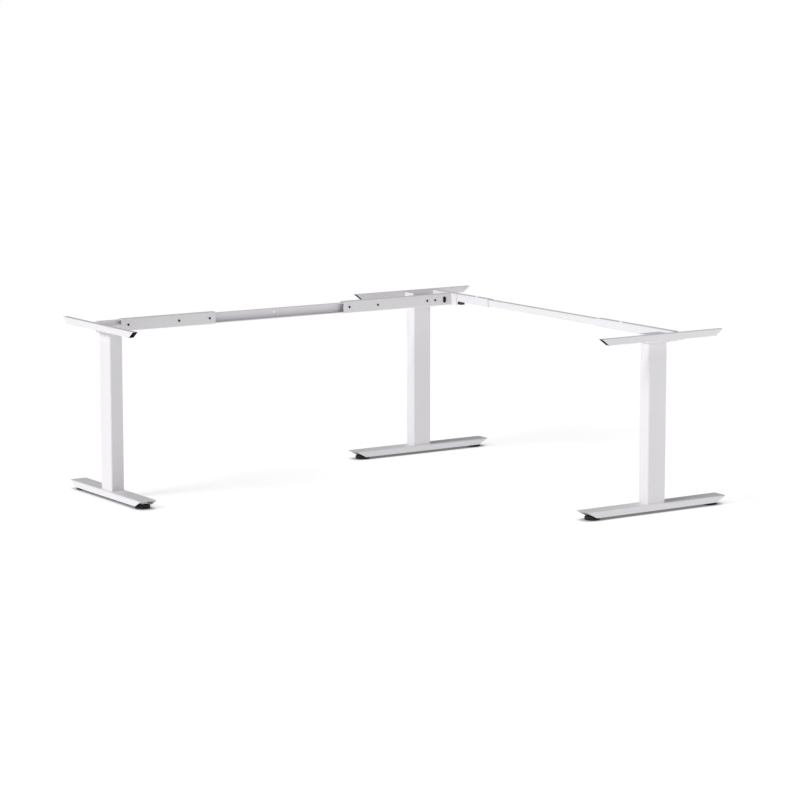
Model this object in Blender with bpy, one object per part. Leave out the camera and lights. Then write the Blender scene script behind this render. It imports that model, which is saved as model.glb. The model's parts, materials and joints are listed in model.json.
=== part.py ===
"""Three-leg L-shaped height adjustable desk frame, shown fully lowered and without a worktop.

World frame: metres, +Z up. +X runs along the left rail towards the corner leg and +Y points to
the back of that side. The origin is the centre of the footprint, on the floor.

Every leg is drawn in its own frame: x runs from the column along the rail it carries, y points
to the side the rail is set back to, z is up. The right leg is the mirror image, so its y is
flipped with the value called hand.
"""
import math

import bmesh
import bpy
from mathutils import Vector

for old in list(bpy.data.objects):
    bpy.data.objects.remove(old, do_unlink=True)

# ---------------------------------------------------------------- driving dimensions (metres)
FIT = 0.0003                # gap left between two pieces that touch

LEFT_SPAN = 1.476           # left column to corner column, along X
CORNER_SET = 0.210          # corner column behind the left column, along Y
RIGHT_SPAN = 1.488          # corner column to right column, along Y

TOP = 0.641                 # plane the worktop rests on
FOOT_LONG = 0.623           # corner and right foot
FOOT_SHORT = 0.543          # left foot
FOOT_TOP = 0.032
FOOT_UNDER = 0.0095
FOOT_CUT = 0.043            # how far each end leans in over the height of the foot
FOOT_WALL = 0.003
FOOT_ROUND = 0.005

PAD_RADIUS = 0.0275         # levelling glide, its pad partly inside the open foot
PAD_HEIGHT = 0.012
COLLAR_HEIGHT = 0.0025      # hexagon between the pad and the foot's boss
PAD_GAP = 0.0045            # between the pad and the foot's side walls
FOOT_WIDTH = 2.0 * (PAD_RADIUS + PAD_GAP + FOOT_WALL)
STUD_RADIUS = 0.004
STUD_TOP = 0.027
GLIDE_INSET = 0.0475        # glide centre from the tip of the foot

TUBE_LONG = 0.080           # outer column tube
TUBE_SHORT = 0.0524
TUBE_WALL = 0.0015
TUBE_ROUND = 0.0055
STAGE_GAP = 0.0015          # room for the slide bush between two stages
OUTER_TOP = 0.6070
MIDDLE_TOP = 0.6085
STAGE_RISE = 0.010          # each stage ends this much above the one around it, at the foot
BUSH_LENGTH = 0.060
BUSH_RECESS = 0.0010        # bush set down inside the tube mouth

BASE_SCREW = 0.007          # radii of the nested lift screws
HOLLOW_BORE = 0.0074
HOLLOW_SCREW = 0.012
DRIVE_BORE = 0.0124
DRIVE_TUBE = 0.0155
MOTOR_RADIUS = 0.0175
MOTOR_BOTTOM = 0.452

PLATE = 0.003               # column head sheet
CAP_LOW = 0.6080            # cap over the column
CAP_OVER = 0.0055           # it reaches this far past the column on both sides
CAP_SIDE = 0.5 * TUBE_LONG + CAP_OVER
CAP_OVER_RAIL = 0.0023      # and this far on the rail side
CAP_FACE = 0.5 * TUBE_SHORT + CAP_OVER_RAIL
RAIL_TOP = 0.6376
U_NEAR = 0.105              # rail face from the column axis, left leg
V_NEAR = 0.088              # the same for the corner and right legs
RAIL_DEPTH = 0.026
U_HEIGHT = 0.0456           # rail from the left leg to the corner
V_HEIGHT = 0.0300           # rail from the corner to the right leg
RAIL_WALL = 0.0024
RAIL_LIP = 0.008
U_INNER_HEIGHT = 0.0377
HEAD_OVER_ARM = 0.0078      # the head wall stands this far past the column on the arm side
HEAD_FRONT = 0.5 * TUBE_SHORT + HEAD_OVER_ARM
WALL_LOW = 0.6125           # lower edge of that wall beside the cap
WALL_DROP = 0.084           # up to here the wall of a low rail reaches down to the cap's edge
LINK_TOP = 0.6320           # upper edge of the link from the wall to the left stub
STUB_END = 0.150            # head stub that carries the rail
LEFT_STUB_START = 0.008     # the left stub shows between here and its rail
BRACKET_LOW = 0.6025        # bracket from the corner head into the left rail
BRACKET_TOP = 0.6220
BRACKET_LEFT = -0.045
BRACKET_RIGHT = 0.022

ARM_LENGTH = 0.538
ARM_WIDTH = 0.020
ARM_HEIGHT = 0.024
ARM_CUT = 0.032
ARM_WALL = 0.0015

U_LEFT_START = 0.101        # start of the left outer, from the left column
U_LEFT_END = 0.496          # end of the left outer, from the left column
U_RIGHT_START = 1.061       # start of the right outer, from the left column
U_FLANGE = 0.034            # bent end of the right outer that lies on the other rail
V_FAR_START = -0.0304       # start and end of the far outer, from the corner column
V_FAR_END = 0.347
V_NEAR_START = 0.004        # start and end of the near outer, from the right column
V_NEAR_END = 0.451
INNER_GRIP = 0.100          # inner rail held inside each outer

SCREW_RADIUS = 0.0025       # M5 button head
SCREW_HEAD = 0.0044
SCREW_HEAD_HEIGHT = 0.0026
SCREW_LEVEL = 0.0228        # screws below the rail top
SCREWS_LEFT = (0.129, 0.341, 0.471)       # screw places along the left rail
SCREWS_RIGHT = (1.087, 1.217)
BRACKET_SCREWS = (LEFT_SPAN - 0.030, LEFT_SPAN + 0.007)   # the two that hold the corner bracket
TAB_WIDTH = 0.016
TAB_DEPTH = 0.0024
SLOT_HALF_WIDTH = 0.0058    # cable slot near the bend
SLOT_HALF_HEIGHT = 0.0110
PLUG_LENGTH = 0.022         # plug under the far outer, beside the bent end
PLUG_HEIGHT = 0.011
ROUND_STEPS = 18

# ---------------------------------------------------------------- where the columns stand
ARM_OUT = HEAD_FRONT + ARM_WIDTH
X_SHIFT = -0.5 * (LEFT_SPAN + 0.5 * FOOT_LONG - ARM_OUT)
Y_SHIFT = -0.5 * (0.5 * FOOT_SHORT + CORNER_SET - RIGHT_SPAN - ARM_OUT)
LEFT = Vector((X_SHIFT, Y_SHIFT, 0.0))
CORNER = LEFT + Vector((LEFT_SPAN, CORNER_SET, 0.0))
RIGHT = CORNER + Vector((0.0, -RIGHT_SPAN, 0.0))
QUARTER = 0.5 * math.pi

# leg name: (column, turn of the leg frame, hand, foot length, rail face, rail height)
LEGS = {
    "left": (LEFT, 0.0, 1.0, FOOT_SHORT, U_NEAR, U_HEIGHT),
    "corner": (CORNER, -QUARTER, 1.0, FOOT_LONG, V_NEAR, V_HEIGHT),
    "right": (RIGHT, QUARTER, -1.0, FOOT_LONG, V_NEAR, V_HEIGHT),
}

# ---------------------------------------------------------------- materials
FINISHES = {
    "white_powder": ((0.80, 0.81, 0.82), 0.42, 0.0),
    "black_plastic": ((0.02, 0.02, 0.022), 0.55, 0.0),
    "black_rubber": ((0.015, 0.015, 0.015), 0.80, 0.0),
    "black_screw": ((0.02, 0.02, 0.02), 0.35, 0.9),
    "zinc_steel": ((0.62, 0.63, 0.65), 0.35, 1.0),
    "motor_can": ((0.12, 0.12, 0.13), 0.45, 0.8),
}


def material(name, finish):
    """One Principled material per piece, from the table of finishes."""
    colour, roughness, metallic = FINISHES[finish]
    made = bpy.data.materials.new(name)
    made.use_nodes = True
    shader = made.node_tree.nodes["Principled BSDF"]
    shader.inputs["Base Color"].default_value = (*colour, 1.0)
    shader.inputs["Roughness"].default_value = roughness
    shader.inputs["Metallic"].default_value = metallic
    return made


# ---------------------------------------------------------------- meshes
def mesh_from(name, points, faces, smooth_angle=None):
    """A closed mesh with its faces turned outwards."""
    mesh = bpy.data.meshes.new(name)
    mesh.from_pydata([tuple(p) for p in points], [], faces)
    work = bmesh.new()
    work.from_mesh(mesh)
    bmesh.ops.recalc_face_normals(work, faces=work.faces)
    work.to_mesh(mesh)
    work.free()
    if smooth_angle is not None:
        mesh.polygons.foreach_set("use_smooth", [True] * len(mesh.polygons))
        mesh.set_sharp_from_angle(angle=math.radians(smooth_angle))
    mesh.update()
    return mesh


def loop_faces(loops, count, closed):
    """Quads between loops of equal length; the ends are capped unless the stack closes."""
    faces = []
    last = loops if closed else loops - 1
    for level in range(last):
        low = level * count
        high = ((level + 1) % loops) * count
        for i in range(count):
            j = (i + 1) % count
            faces.append((low + i, low + j, high + j, high + i))
    if not closed:
        faces.append(tuple(range(count)))
        faces.append(tuple(range((loops - 1) * count, loops * count)))
    return faces


def rounded_loop(half_x, half_y, radius, z, steps=4):
    """A rounded rectangle of points at height z."""
    points = []
    centres = ((1, 1), (-1, 1), (-1, -1), (1, -1))
    for quarter, (sx, sy) in enumerate(centres):
        cx = sx * (half_x - radius)
        cy = sy * (half_y - radius)
        for i in range(steps):
            angle = QUARTER * (quarter + i / (steps - 1))
            points.append((cx + radius * math.cos(angle), cy + radius * math.sin(angle), z))
    return points


def ring_mesh(name, stations):
    """A ring swept round a rounded rectangle: stations are (half_x, half_y, radius, z)."""
    points = []
    for station in stations:
        points.extend(rounded_loop(*station))
    count = len(points) // len(stations)
    return mesh_from(name, points, loop_faces(len(stations), count, True), 35)


def tube_mesh(name, half_x, half_y, radius, wall, low, high):
    """A rectangular tube with rounded corners."""
    inside = (half_x - wall, half_y - wall, radius - wall)
    return ring_mesh(name, [
        (half_x, half_y, radius, low), (half_x, half_y, radius, high),
        (*inside, high), (*inside, low)])


def hexagon(angle):
    """Distance to the side of a unit hexagon, across flats."""
    return 1.0 / math.cos((angle % (math.pi / 3.0)) - math.pi / 6.0)


def lathe_mesh(name, profile, closed=False, steps=ROUND_STEPS):
    """Turn (radius, z) pairs round z. A third value True makes that loop a hexagon."""
    points = []
    for row in profile:
        for i in range(steps):
            angle = 2.0 * math.pi * i / steps
            reach = row[0] * (hexagon(angle) if len(row) > 2 else 1.0)
            points.append((reach * math.cos(angle), reach * math.sin(angle), row[1]))
    return mesh_from(name, points, loop_faces(len(profile), steps, closed), 35)


def outline_mesh(name, outline, low, high, along="z"):
    """Extrude a flat outline. low and high are numbers, or functions of the outline point."""
    spots = []
    for end in (low, high):
        for u, v in outline:
            w = end(u, v) if callable(end) else end
            if along == "x":
                spots.append((w, u, v))
            elif along == "y":
                spots.append((u, w, v))
            else:
                spots.append((u, v, w))
    return mesh_from(name, spots, loop_faces(2, len(outline), False))


def box_mesh(name, low, high):
    """A box between two corners."""
    outline = [(low[0], low[1]), (high[0], low[1]), (high[0], high[1]), (low[0], high[1])]
    return outline_mesh(name, outline, low[2], high[2])


# ---------------------------------------------------------------- objects
FRAMES = {}


def frame(name, parent, spot):
    """An empty on a joint axis. spot is in world metres."""
    empty = bpy.data.objects.new(name, None)
    bpy.context.scene.collection.objects.link(empty)
    base = Vector((0.0, 0.0, 0.0))
    if parent:
        empty.parent = FRAMES[parent][0]
        base = FRAMES[parent][1]
    empty.location = spot - base
    FRAMES[name] = (empty, spot.copy())


def piece(name, mesh, finish, group, spot, turn=(0.0, 0.0, 0.0)):
    """A named piece that moves with the given frame. spot is in world metres."""
    made = bpy.data.objects.new(name, mesh)
    bpy.context.scene.collection.objects.link(made)
    if not mesh.materials:
        mesh.materials.append(material(name + "_finish", finish))
    empty, base = FRAMES[group]
    made.parent = empty
    made.location = spot - base
    made.rotation_euler = turn
    return made


def shape(owner, name, mesh, operation, offset=(0.0, 0.0, 0.0), turn=(0.0, 0.0, 0.0)):
    """Cut a helper solid out of a piece, or weld it on. The helper is never rendered."""
    helper = bpy.data.objects.new(name, mesh)
    bpy.context.scene.collection.objects.link(helper)
    helper.parent = owner
    helper.location = offset
    helper.rotation_euler = turn
    helper.hide_render = True
    helper.display_type = "WIRE"
    modifier = owner.modifiers.new(name, "BOOLEAN")
    modifier.operation = operation
    modifier.solver = "EXACT"
    modifier.object = helper


def cylinder_mesh(name, radius, low, high):
    """A plain round rod along z."""
    return lathe_mesh(name, [(radius, low), (radius, high)])


def leg_point(leg, x, y, z):
    """A point of a leg frame in world metres."""
    column, turn, hand = LEGS[leg][:3]
    y = y * hand
    return column + Vector((x * math.cos(turn) - y * math.sin(turn),
                            x * math.sin(turn) + y * math.cos(turn), z))


# ---------------------------------------------------------------- joint frames, root first
frame("corner_base_axis", None, CORNER)
frame("corner_middle_axis", "corner_base_axis", CORNER)
frame("corner_top_axis", "corner_middle_axis", CORNER)
frame("left_rail_axis", "corner_top_axis", LEFT + Vector((U_RIGHT_START, U_NEAR, 0.6)))
frame("left_top_axis", "left_rail_axis", LEFT)
frame("left_middle_axis", "left_top_axis", LEFT)
frame("left_base_axis", "left_middle_axis", LEFT)
frame("right_rail_axis", "corner_top_axis", CORNER + Vector((V_NEAR, -V_FAR_END, 0.6)))
frame("right_top_axis", "right_rail_axis", RIGHT)
frame("right_middle_axis", "right_top_axis", RIGHT)
frame("right_base_axis", "right_middle_axis", RIGHT)
for leg_name in LEGS:
    frame(leg_name + "_drive_axis", leg_name + "_top_axis", LEGS[leg_name][0])


# ---------------------------------------------------------------- foot and glides
def foot_end(length):
    """Where the foot ends at height z: the top reaches furthest."""
    slope = FOOT_CUT / (FOOT_TOP - FOOT_UNDER)
    return lambda u, v: 0.5 * length - (FOOT_TOP - v) * slope


def build_foot(leg):
    column, turn, _, length = LEGS[leg][:4]
    half = 0.5 * FOOT_WIDTH
    outline = [(half, FOOT_UNDER)]
    for i in range(6):
        angle = QUARTER * i / 5
        outline.append((half - FOOT_ROUND + FOOT_ROUND * math.cos(angle),
                        FOOT_TOP - FOOT_ROUND + FOOT_ROUND * math.sin(angle)))
    outline = outline + [(-u, v) for u, v in reversed(outline)]
    reach = foot_end(length)
    mesh = outline_mesh("foot_" + leg, outline, lambda u, v: -reach(u, v), reach, along="y")
    mesh.polygons.foreach_set("use_smooth", [True] * len(mesh.polygons))
    mesh.set_sharp_from_angle(angle=math.radians(35))
    foot = piece("foot_" + leg, mesh, "white_powder", leg + "_base_axis", column, (0, 0, turn))

    inside = half - FOOT_WALL
    roof = FOOT_TOP - FOOT_WALL
    boss_low = PAD_HEIGHT + COLLAR_HEIGHT
    pocket = [(inside, FOOT_UNDER - 0.004), (inside, roof), (-inside, roof), (-inside, FOOT_UNDER - 0.004)]
    inner = foot_end(length + 0.020)
    shape(foot, "foot_pocket_" + leg, outline_mesh("foot_pocket_" + leg, pocket,
          lambda u, v: -inner(u, v), inner, along="y"), "DIFFERENCE")
    for side, sign in (("front", -1.0), ("back", 1.0)):
        y = sign * (0.5 * length - GLIDE_INSET)
        boss = cylinder_mesh("boss_%s_%s" % (leg, side), 0.009, boss_low, roof + 0.001)
        shape(foot, "boss_%s_%s" % (leg, side), boss, "UNION", (0.0, y, 0.0))
        bore = cylinder_mesh("stud_hole_%s_%s" % (leg, side), STUD_RADIUS + FIT,
                             boss_low - 0.004, STUD_TOP + 0.0015)
        shape(foot, "stud_hole_%s_%s" % (leg, side), bore, "DIFFERENCE", (0.0, y, 0.0))

        name = "glide_%s_%s" % (leg, side)
        spot = column + Vector((-math.sin(turn) * y, math.cos(turn) * y, 0.0))
        frame(name + "_axis", leg + "_base_axis", spot)
        glide = lathe_mesh(name, [
            (PAD_RADIUS - 0.0015, 0.0), (PAD_RADIUS, 0.0012), (PAD_RADIUS, PAD_HEIGHT - 0.0020),
            (PAD_RADIUS - 0.0020, PAD_HEIGHT), (0.0065, PAD_HEIGHT, True),
            (0.0065, boss_low - FIT, True), (STUD_RADIUS, boss_low - FIT),
            (STUD_RADIUS, STUD_TOP - 0.0006), (STUD_RADIUS - 0.0006, STUD_TOP)])
        piece(name, glide, "black_rubber", name + "_axis", spot)


# ---------------------------------------------------------------- telescopic column
def stage_size(stage):
    """Half sizes and corner radius of a column stage: 0 outer, 1 middle, 2 inner."""
    step = stage * (TUBE_WALL + STAGE_GAP)
    return 0.5 * TUBE_SHORT - step, 0.5 * TUBE_LONG - step, TUBE_ROUND - 0.0012 * stage


def bush_mesh(name, stage, top):
    """Slide bush in the mouth of a stage, set just below the tube end."""
    out_x, out_y, radius = stage_size(stage)
    in_x, in_y, in_radius = stage_size(stage + 1)
    fill = TUBE_WALL + FIT
    sleeve = (out_x - fill, out_y - fill, radius - fill)
    bore = (in_x + FIT, in_y + FIT, in_radius + FIT)
    high = top - BUSH_RECESS
    low = high - BUSH_LENGTH
    return ring_mesh(name, [(*sleeve, low), (*sleeve, high), (*bore, high), (*bore, low)])


def build_column(leg):
    column, turn = LEGS[leg][:2]
    angle = (0.0, 0.0, turn)
    base = leg + "_base_axis"
    middle = leg + "_middle_axis"
    top = leg + "_top_axis"
    plate_low = RAIL_TOP - PLATE
    outer_low = FOOT_TOP + FIT
    middle_low = outer_low + STAGE_RISE
    inner_low = middle_low + STAGE_RISE

    for stage, low, high, group, word in (
            (0, outer_low, OUTER_TOP, base, "outer"),
            (1, middle_low, MIDDLE_TOP, middle, "middle"),
            (2, inner_low, plate_low - FIT, top, "inner")):
        name = "tube_%s_%s" % (word, leg)
        half_x, half_y, radius = stage_size(stage)
        mesh = tube_mesh(name, half_x, half_y, radius, TUBE_WALL, low, high)
        piece(name, mesh, "white_powder", group, column, angle)
    piece("bush_outer_" + leg, bush_mesh("bush_outer_" + leg, 0, OUTER_TOP), "black_plastic",
          base, column, angle)
    piece("bush_middle_" + leg, bush_mesh("bush_middle_" + leg, 1, MIDDLE_TOP), "black_plastic",
          middle, column, angle)

    # base screw: a solid rod on a round flange that stands on the foot
    screw_low = outer_low
    base_screw = lathe_mesh("screw_base_" + leg, [
        (0.0200, screw_low), (0.0200, screw_low + 0.006), (0.0100, screw_low + 0.0085),
        (BASE_SCREW, screw_low + 0.0090), (BASE_SCREW, 0.415), (BASE_SCREW - 0.0015, 0.4165)])
    piece("screw_base_" + leg, base_screw, "zinc_steel", base, column, angle)

    # hollow screw: carried by a plate in the lower end of the middle tube
    mid_x, mid_y, mid_round = stage_size(1)
    hold = TUBE_WALL + FIT
    seat_z = middle_low + 0.001
    block = outline_mesh("screw_hollow_" + leg,
                         [p[:2] for p in rounded_loop(mid_x - hold, mid_y - hold, mid_round - hold, 0.0)],
                         seat_z, seat_z + 0.005)
    hollow = piece("screw_hollow_" + leg, block, "zinc_steel", middle, column, angle)
    shape(hollow, "hollow_shank_" + leg,
          cylinder_mesh("hollow_shank_" + leg, HOLLOW_SCREW, seat_z + 0.002, 0.440), "UNION")
    shape(hollow, "hollow_bore_" + leg,
          cylinder_mesh("hollow_bore_" + leg, HOLLOW_BORE, seat_z - 0.005, 0.445), "DIFFERENCE")

    # drive tube: hangs from the motor and turns round the hollow screw
    drive_low = inner_low + 0.004
    drive_high = MOTOR_BOTTOM - FIT
    drive = lathe_mesh("drive_tube_" + leg, [
        (DRIVE_BORE, drive_low), (DRIVE_TUBE, drive_low), (DRIVE_TUBE, drive_high),
        (DRIVE_BORE, drive_high)], closed=True)
    piece("drive_tube_" + leg, drive, "zinc_steel", leg + "_drive_axis", column, angle)

    # motor and gearbox, in line inside the head of the inner tube
    motor = lathe_mesh("motor_" + leg, [
        (MOTOR_RADIUS - 0.001, MOTOR_BOTTOM), (MOTOR_RADIUS, MOTOR_BOTTOM + 0.001),
        (MOTOR_RADIUS, 0.520), (MOTOR_RADIUS - 0.0012, 0.521), (MOTOR_RADIUS - 0.0012, 0.524),
        (MOTOR_RADIUS, 0.525), (MOTOR_RADIUS, 0.612), (MOTOR_RADIUS - 0.002, 0.614),
        (0.006, 0.614), (0.006, plate_low - FIT)])
    piece("motor_" + leg, motor, "motor_can", top, column, angle)


FACE_TURN = (QUARTER, 0.0, 0.0)          # turns a z axis to face -Y
SCREW_Z = RAIL_TOP - SCREW_LEVEL


def bore(owner, name, spot, radius, turn):
    """Round hole through a rail face."""
    shape(owner, name, cylinder_mesh(name, radius, -0.006, 0.008), "DIFFERENCE", spot, turn)


# ---------------------------------------------------------------- column head and arm
def channel(height, depth, wall, lip, near, top):
    """C section in (y, z): flat face at y = near, open with two lips on the far side."""
    far = near + depth
    low = top - height
    return [
        (near, low), (far, low), (far, low + lip), (far - wall, low + lip),
        (far - wall, low + wall), (near + wall, low + wall), (near + wall, top - wall),
        (far - wall, top - wall), (far - wall, top - lip), (far, top - lip), (far, top), (near, top)]


def inner_section(web, open_side, low, high):
    """Inner rail: a plain U with its web at one side and its two flanges towards the other."""
    wall = RAIL_WALL if open_side > web else -RAIL_WALL
    return [(web, low), (open_side, low), (open_side, low + RAIL_WALL), (web + wall, low + RAIL_WALL),
            (web + wall, high - RAIL_WALL), (open_side, high - RAIL_WALL), (open_side, high), (web, high)]


def build_head(leg):
    """Cap over the column, wall against the arm, and the stub that carries the rail."""
    column, turn, hand, _, near, rail_height = LEGS[leg]
    front = -HEAD_FRONT + FIT
    wall_end = front + PLATE
    far = near + RAIL_WALL + FIT
    back = near + RAIL_DEPTH - RAIL_WALL - FIT

    half = 0.5 * (CAP_FACE - front)
    shift = 0.5 * (CAP_FACE + front)
    loop = [(x + shift, y) for x, y, _ in rounded_loop(half, CAP_SIDE, TUBE_ROUND, 0.0)]
    head = piece("head_" + leg, outline_mesh("head_" + leg, loop, CAP_LOW, RAIL_TOP), "white_powder",
                 leg + "_top_axis", column, (0, 0, turn))
    pocket = box_mesh("head_pocket_" + leg, (wall_end, PLATE - CAP_SIDE, CAP_LOW - 0.005),
                      (CAP_FACE - PLATE, CAP_SIDE - PLATE, RAIL_TOP - PLATE))
    shape(head, "head_pocket_" + leg, pocket, "DIFFERENCE")

    inside = CAP_SIDE - 0.008
    if leg == "left":
        sheet = [(inside, WALL_LOW), (back, WALL_LOW), (back, LINK_TOP), (inside, LINK_TOP)]
    else:
        high = RAIL_TOP - 0.001
        sheet = [(inside, CAP_LOW + 0.001), (WALL_DROP, CAP_LOW + 0.001), (WALL_DROP, WALL_LOW),
                 (back, WALL_LOW), (back, high), (inside, high)]
    sheet = [(v * hand, w) for v, w in sheet]
    wall = outline_mesh("head_wall_" + leg, sheet, front, wall_end, along="x")
    shape(head, "head_wall_" + leg, wall, "UNION")

    # the stub stands clear of the rail walls by FIT
    stub_top = RAIL_TOP - RAIL_WALL - FIT
    stub_low = RAIL_TOP - rail_height + RAIL_WALL + FIT
    if leg == "left":
        start = LEFT_STUB_START
        section = inner_section(back, far, stub_low, stub_top)
        link = box_mesh("head_link", (front + 0.001, back - RAIL_WALL, WALL_LOW),
                        (start + 0.001, back, LINK_TOP))
        shape(head, "head_link", link, "UNION")
    else:
        start = front + 0.001
        section = channel(stub_top - stub_low, back - far, RAIL_WALL, RAIL_LIP - 0.003, far, stub_top)
    section = [(v * hand, w) for v, w in section]
    stub = outline_mesh("head_stub_" + leg, section, start, STUB_END, along="x")
    shape(head, "head_stub_" + leg, stub, "UNION")
    if leg == "corner":
        add_bracket(head)


def add_bracket(head):
    """Shelf from the corner cap into the open back of the left rail, with a tab behind its face."""
    reach = CORNER_SET - U_NEAR - RAIL_WALL - FIT
    shelf = box_mesh("bracket_shelf", (CAP_FACE - 0.001, BRACKET_LEFT, BRACKET_TOP - PLATE),
                     (reach, BRACKET_RIGHT, BRACKET_TOP))
    shape(head, "bracket_shelf", shelf, "UNION")
    tab = box_mesh("bracket_tab", (reach - PLATE, BRACKET_LEFT, BRACKET_LOW),
                   (reach, BRACKET_RIGHT, BRACKET_TOP - 0.001))
    shape(head, "bracket_tab", tab, "UNION")
    for i, x in enumerate(BRACKET_SCREWS):
        drill = cylinder_mesh("bracket_hole_%d" % (i + 1), SCREW_RADIUS + FIT, -0.006, 0.006)
        shape(head, drill.name, drill, "DIFFERENCE", (reach, x - LEFT_SPAN, SCREW_Z), (0.0, QUARTER, 0.0))


def build_arm(leg):
    """Closed box tube under the worktop, both ends cut at a slant and left open."""
    column, turn = LEGS[leg][:2]
    middle = -HEAD_FRONT - 0.5 * ARM_WIDTH
    slope = ARM_CUT / ARM_HEIGHT
    points = []
    for inset, sign in ((0.0, -1.0), (0.0, 1.0), (ARM_WALL, 1.0), (ARM_WALL, -1.0)):
        half = 0.5 * ARM_WIDTH - inset
        low = TOP - ARM_HEIGHT + inset
        high = TOP - inset
        for x, z in ((-half, low), (half, low), (half, high), (-half, high)):
            points.append((middle + x, sign * (0.5 * ARM_LENGTH - (TOP - z) * slope), z))
    arm = piece("arm_" + leg, mesh_from("arm_" + leg, points, loop_faces(4, 4, True)), "white_powder",
                leg + "_top_axis", column, (0, 0, turn))
    for i, y in enumerate((-0.225, -0.075, 0.075, 0.225)):
        name = "arm_hole_%s_%d" % (leg, i + 1)
        drill = cylinder_mesh(name, 0.0035, TOP - ARM_HEIGHT - 0.004, TOP + 0.004)
        shape(arm, name, drill, "DIFFERENCE", (middle, y, 0.0))


# ---------------------------------------------------------------- rails
def weld_tab(rail, name, low, high):
    """Small ear that lifts the worktop plane from the rail to the arms."""
    shape(rail, name, box_mesh(name, low, high), "UNION")


def outer_section(near, height):
    """Outer rail: flat face to the near side, lips at the back."""
    return channel(height, RAIL_DEPTH, RAIL_WALL, RAIL_LIP, near, RAIL_TOP)


def screw(name, group, spot, reach):
    """Black button-head screw whose head sits on a rail face."""
    head = SCREW_HEAD_HEIGHT
    mesh = lathe_mesh(name, [
        (SCREW_RADIUS, -reach), (SCREW_RADIUS, FIT), (SCREW_HEAD, FIT), (SCREW_HEAD, 0.45 * head),
        (0.82 * SCREW_HEAD, 0.80 * head), (0.60 * SCREW_HEAD, head), (0.0017, head, True),
        (0.0017, 0.35 * head, True)], steps=12)
    piece(name, mesh, "black_screw", group, spot, FACE_TURN)


def build_left_rails():
    """Left leg to corner: left outer, inner, and the right outer with its bent end."""
    left = piece("rail_left_outer", outline_mesh("rail_left_outer", outer_section(U_NEAR, U_HEIGHT),
                 U_LEFT_START, U_LEFT_END, along="x"), "white_powder", "left_top_axis", LEFT)
    weld_tab(left, "tab_left", (0.328, U_NEAR, RAIL_TOP - 0.001),
             (0.328 + TAB_WIDTH, U_NEAR + TAB_DEPTH, TOP))
    reach = RAIL_DEPTH - 2.0 * RAIL_WALL - 2.0 * FIT
    for i, x in enumerate(SCREWS_LEFT):
        bore(left, "left_outer_hole_%d" % (i + 1), (x, U_NEAR, SCREW_Z), SCREW_RADIUS + FIT, FACE_TURN)
        screw("screw_left_%d" % (i + 1), "left_top_axis", LEFT + Vector((x, U_NEAR, SCREW_Z)), reach)

    low = RAIL_TOP - U_HEIGHT + RAIL_WALL + FIT
    far = U_NEAR + RAIL_DEPTH - RAIL_WALL - FIT
    section = inner_section(far, U_NEAR + RAIL_WALL + FIT, low, low + U_INNER_HEIGHT)
    inner = piece("rail_left_inner", outline_mesh("rail_left_inner", section, U_LEFT_END - INNER_GRIP,
                  U_RIGHT_START + INNER_GRIP, along="x"), "white_powder", "left_rail_axis", LEFT)
    bore(inner, "inner_hole", (0.763, far, 0.616), 0.0035, FACE_TURN)

    # right outer: straight channel, then the face bends forward and lies on the other rail
    end = LEFT_SPAN + V_NEAR - FIT
    right = piece("rail_right_outer", outline_mesh("rail_right_outer", outer_section(U_NEAR, U_HEIGHT),
                  U_RIGHT_START, end - 0.004, along="x"), "white_powder", "corner_top_axis", LEFT)
    bend = 0.006
    outline = [(end - 0.010, U_NEAR), (end - 0.010, U_NEAR + RAIL_WALL)]
    outside = bend + RAIL_WALL
    for i in range(7):
        angle = QUARTER * (1.0 - i / 6.0)
        outline.append((end - outside + outside * math.cos(angle),
                        U_NEAR + RAIL_WALL - outside + outside * math.sin(angle)))
    outline.append((end, U_NEAR - U_FLANGE))
    outline.append((end - RAIL_WALL, U_NEAR - U_FLANGE))
    for i in range(7):
        angle = QUARTER * i / 6.0
        outline.append((end - outside + bend * math.cos(angle),
                        U_NEAR + RAIL_WALL - outside + bend * math.sin(angle)))
    flange = outline_mesh("rail_flange", outline, RAIL_TOP - U_HEIGHT, RAIL_TOP)
    shape(right, "rail_flange", flange, "UNION")
    for i, x in enumerate(SCREWS_RIGHT + BRACKET_SCREWS):
        bore(right, "right_outer_hole_%d" % (i + 1), (x, U_NEAR, SCREW_Z), SCREW_RADIUS + FIT, FACE_TURN)
        reach = RAIL_DEPTH - 2.0 * RAIL_WALL - 2.0 * FIT if i < 2 else 0.012
        screw("screw_right_%d" % (i + 1), "corner_top_axis", LEFT + Vector((x, U_NEAR, SCREW_Z)), reach)

    slot = LEFT_SPAN + 0.051
    half = SLOT_HALF_WIDTH
    hole = [p[:2] for p in rounded_loop(half, SLOT_HALF_HEIGHT, half - 0.0001, 0.0, 5)]
    shape(right, "cable_slot", outline_mesh("cable_slot", hole, -0.006, 0.008), "DIFFERENCE",
          (slot, U_NEAR, SCREW_Z), FACE_TURN)
    plug = []
    levels = ((-FIT, -RAIL_WALL - 0.003), (-FIT, FIT), (0.0012, FIT), (0.0012, 0.0010), (0.0002, 0.0018))
    for grow, z in levels:
        plug.extend(rounded_loop(half + grow, SLOT_HALF_HEIGHT + grow, half + grow - 0.0001, z, 5))
    mesh = mesh_from("cable_grommet", plug, loop_faces(5, len(plug) // 5, False), 35)
    piece("cable_grommet", mesh, "black_plastic", "corner_top_axis",
          LEFT + Vector((slot, U_NEAR, SCREW_Z)), FACE_TURN)


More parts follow.
